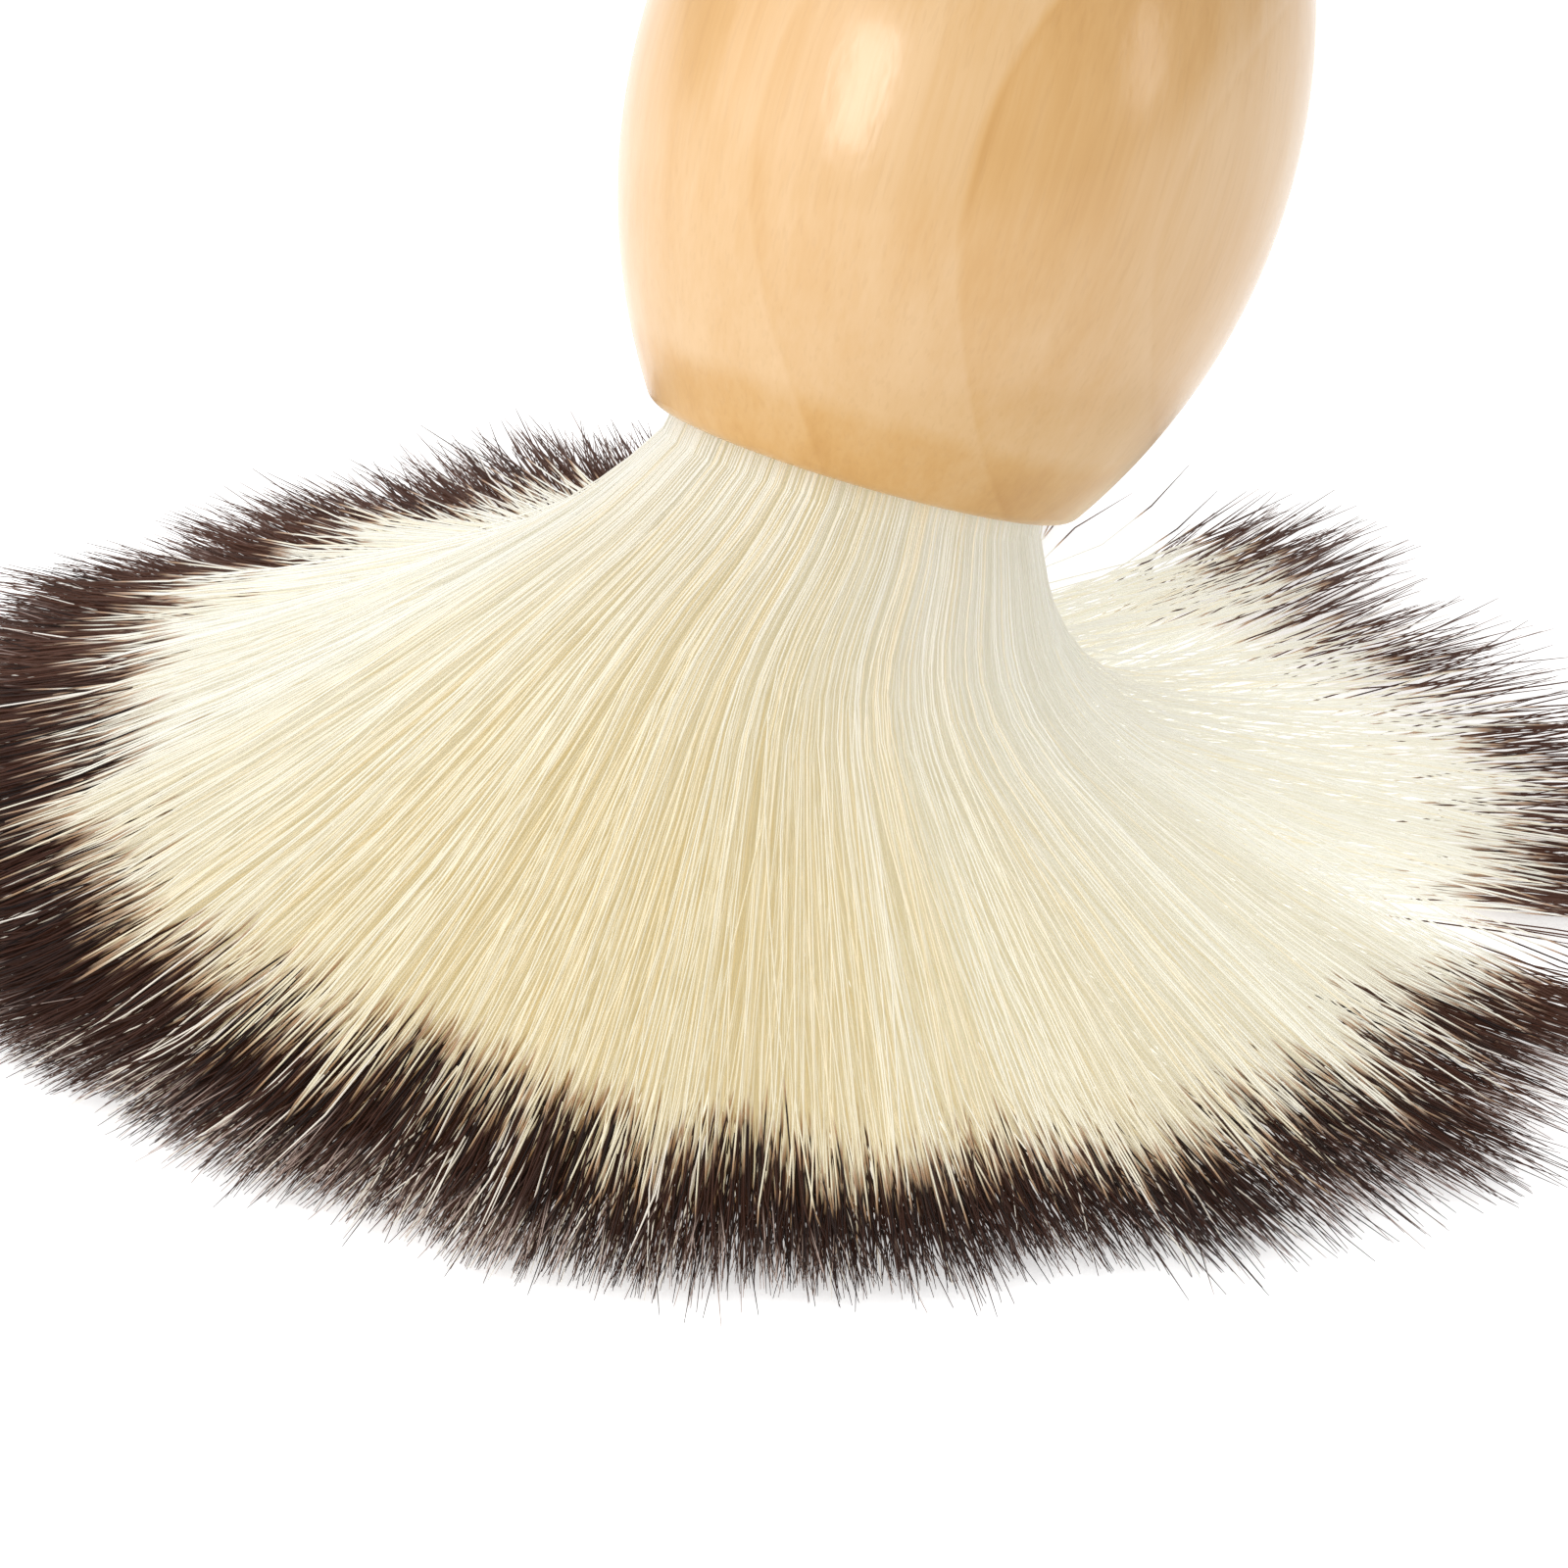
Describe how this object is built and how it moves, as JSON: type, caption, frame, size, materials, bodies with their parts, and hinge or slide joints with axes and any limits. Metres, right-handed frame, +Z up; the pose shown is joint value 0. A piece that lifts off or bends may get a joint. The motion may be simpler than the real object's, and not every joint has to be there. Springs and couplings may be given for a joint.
{
  "type": "fade brush",
  "caption": "Short barber's brush: barrel-shaped turned wooden handle with a round knot of soft dark-tipped filaments, pressed down and spread out flat.",
  "frame": {"origin": "centre of the disc that the spread filament tips reach, on the surface that the brush is pressed on", "axes": "+Z up, away from that surface; the handle's axis leans 21.3 degrees from +Z towards 52.5 degrees from +X in the XY plane"},
  "size_m": [0.1098, 0.1098, 0.0673],
  "materials": {
    "wood": "clear gloss lacquer over pale maple-like hardwood with fine grain along the handle",
    "adhesive": "cured epoxy, slightly translucent",
    "resin": "cast resin, smooth",
    "thread": "tightly wound twisted thread",
    "filament": "fine cream synthetic filaments with a soft sheen and dyed brown-black tips"
  },
  "bodies": {
    "handle": {"wooden_handle": "wood", "socket_adhesive": "adhesive", "knot_plug": "resin", "binding_thread": "thread", "bristle_neck": "filament", "bristle_core": "filament"},
    "tuft_01": {"tuft_01": "filament"},
    "tuft_02": {"tuft_02": "filament"},
    "tuft_03": {"tuft_03": "filament"},
    "tuft_04": {"tuft_04": "filament"},
    "tuft_05": {"tuft_05": "filament"},
    "tuft_06": {"tuft_06": "filament"},
    "tuft_07": {"tuft_07": "filament"},
    "tuft_08": {"tuft_08": "filament"},
    "tuft_09": {"tuft_09": "filament"},
    "tuft_10": {"tuft_10": "filament"},
    "tuft_11": {"tuft_11": "filament"},
    "tuft_12": {"tuft_12": "filament"},
    "tuft_13": {"tuft_13": "filament"},
    "tuft_14": {"tuft_14": "filament"},
    "tuft_15": {"tuft_15": "filament"},
    "tuft_16": {"tuft_16": "filament"}
  },
  "joints": [
    {"name": "tuft_03_splay", "type": "hinge", "parent": "handle", "child": "tuft_03", "pos_m": [0.00685, 0.00736, 0.00589], "axis": [-0.7234, 0.6901, -0.0201], "range_deg": [0, 102.1]},
    {"name": "tuft_01_splay", "type": "hinge", "parent": "handle", "child": "tuft_01", "pos_m": [0.01187, 0.00254, 0.00543], "axis": [-0.151, 0.9801, -0.1289], "range_deg": [0, 95.17]},
    {"name": "tuft_02_splay", "type": "hinge", "parent": "handle", "child": "tuft_02", "pos_m": [0.0095, 0.00551, 0.00567], "axis": [-0.4647, 0.882, -0.0784], "range_deg": [0, 99.87]},
    {"name": "tuft_04_splay", "type": "hinge", "parent": "handle", "child": "tuft_04", "pos_m": [0.00422, 0.00841, 0.006], "axis": [-0.9042, 0.4253, 0.0401], "range_deg": [0, 101.65]},
    {"name": "tuft_05_splay", "type": "hinge", "parent": "handle", "child": "tuft_05", "pos_m": [0.0016, 0.00897, 0.00594], "axis": [-0.9889, 0.1128, 0.0964], "range_deg": [0, 98.56]},
    {"name": "tuft_06_splay", "type": "hinge", "parent": "handle", "child": "tuft_06", "pos_m": [-0.00122, 0.00917, 0.00576], "axis": [-0.9653, -0.2185, 0.1431], "range_deg": [0, 93.12]},
    {"name": "tuft_07_splay", "type": "hinge", "parent": "handle", "child": "tuft_07", "pos_m": [-0.00457, 0.00884, 0.00556], "axis": [-0.8256, -0.5366, 0.1746], "range_deg": [0, 85.91]},
    {"name": "tuft_08_splay", "type": "hinge", "parent": "handle", "child": "tuft_08", "pos_m": [-0.00861, 0.00734, 0.00549], "axis": [-0.5666, -0.803, 0.1847], "range_deg": [0, 77.74]},
    {"name": "tuft_09_splay", "type": "hinge", "parent": "handle", "child": "tuft_09", "pos_m": [-0.01285, 0.00358, 0.00573], "axis": [-0.195, -0.9666, 0.1665], "range_deg": [0, 69.72]},
    {"name": "tuft_10_splay", "type": "hinge", "parent": "handle", "child": "tuft_10", "pos_m": [-0.01537, -0.0033, 0.00629], "axis": [0.253, -0.9607, 0.1144], "range_deg": [0, 63.27]},
    {"name": "tuft_11_splay", "type": "hinge", "parent": "handle", "child": "tuft_11", "pos_m": [-0.01314, -0.01192, 0.00687], "axis": [0.6803, -0.7322, 0.0314], "range_deg": [0, 59.91]},
    {"name": "tuft_12_splay", "type": "hinge", "parent": "handle", "child": "tuft_12", "pos_m": [-0.00545, -0.01777, 0.00697], "axis": [0.9473, -0.3144, -0.0615], "range_deg": [0, 60.61]},
    {"name": "tuft_13_splay", "type": "hinge", "parent": "handle", "child": "tuft_13", "pos_m": [0.00377, -0.01768, 0.00649], "axis": [0.9779, 0.1588, -0.1356], "range_deg": [0, 65.16]},
    {"name": "tuft_14_splay", "type": "hinge", "parent": "handle", "child": "tuft_14", "pos_m": [0.01034, -0.01315, 0.00586], "axis": [0.8103, 0.5589, -0.1761], "range_deg": [0, 72.3]},
    {"name": "tuft_15_splay", "type": "hinge", "parent": "handle", "child": "tuft_15", "pos_m": [0.01327, -0.0072, 0.00543], "axis": [0.5257, 0.8305, -0.1841], "range_deg": [0, 80.51]},
    {"name": "tuft_16_splay", "type": "hinge", "parent": "handle", "child": "tuft_16", "pos_m": [0.01342, -0.00173, 0.00531], "axis": [0.1902, 0.9676, -0.1661], "range_deg": [0, 88.47]}
  ],
  "couplings": [
    {"joint": "tuft_01_splay", "follows": "tuft_03_splay", "ratio": 0.93207},
    {"joint": "tuft_02_splay", "follows": "tuft_03_splay", "ratio": 0.97812},
    {"joint": "tuft_04_splay", "follows": "tuft_03_splay", "ratio": 0.99558},
    {"joint": "tuft_05_splay", "follows": "tuft_03_splay", "ratio": 0.96528},
    {"joint": "tuft_06_splay", "follows": "tuft_03_splay", "ratio": 0.91207},
    {"joint": "tuft_07_splay", "follows": "tuft_03_splay", "ratio": 0.84144},
    {"joint": "tuft_08_splay", "follows": "tuft_03_splay", "ratio": 0.7614},
    {"joint": "tuft_09_splay", "follows": "tuft_03_splay", "ratio": 0.68288},
    {"joint": "tuft_10_splay", "follows": "tuft_03_splay", "ratio": 0.61972},
    {"joint": "tuft_11_splay", "follows": "tuft_03_splay", "ratio": 0.58675},
    {"joint": "tuft_12_splay", "follows": "tuft_03_splay", "ratio": 0.59359},
    {"joint": "tuft_13_splay", "follows": "tuft_03_splay", "ratio": 0.63813},
    {"joint": "tuft_14_splay", "follows": "tuft_03_splay", "ratio": 0.70809},
    {"joint": "tuft_15_splay", "follows": "tuft_03_splay", "ratio": 0.78851},
    {"joint": "tuft_16_splay", "follows": "tuft_03_splay", "ratio": 0.86648}
  ]
}
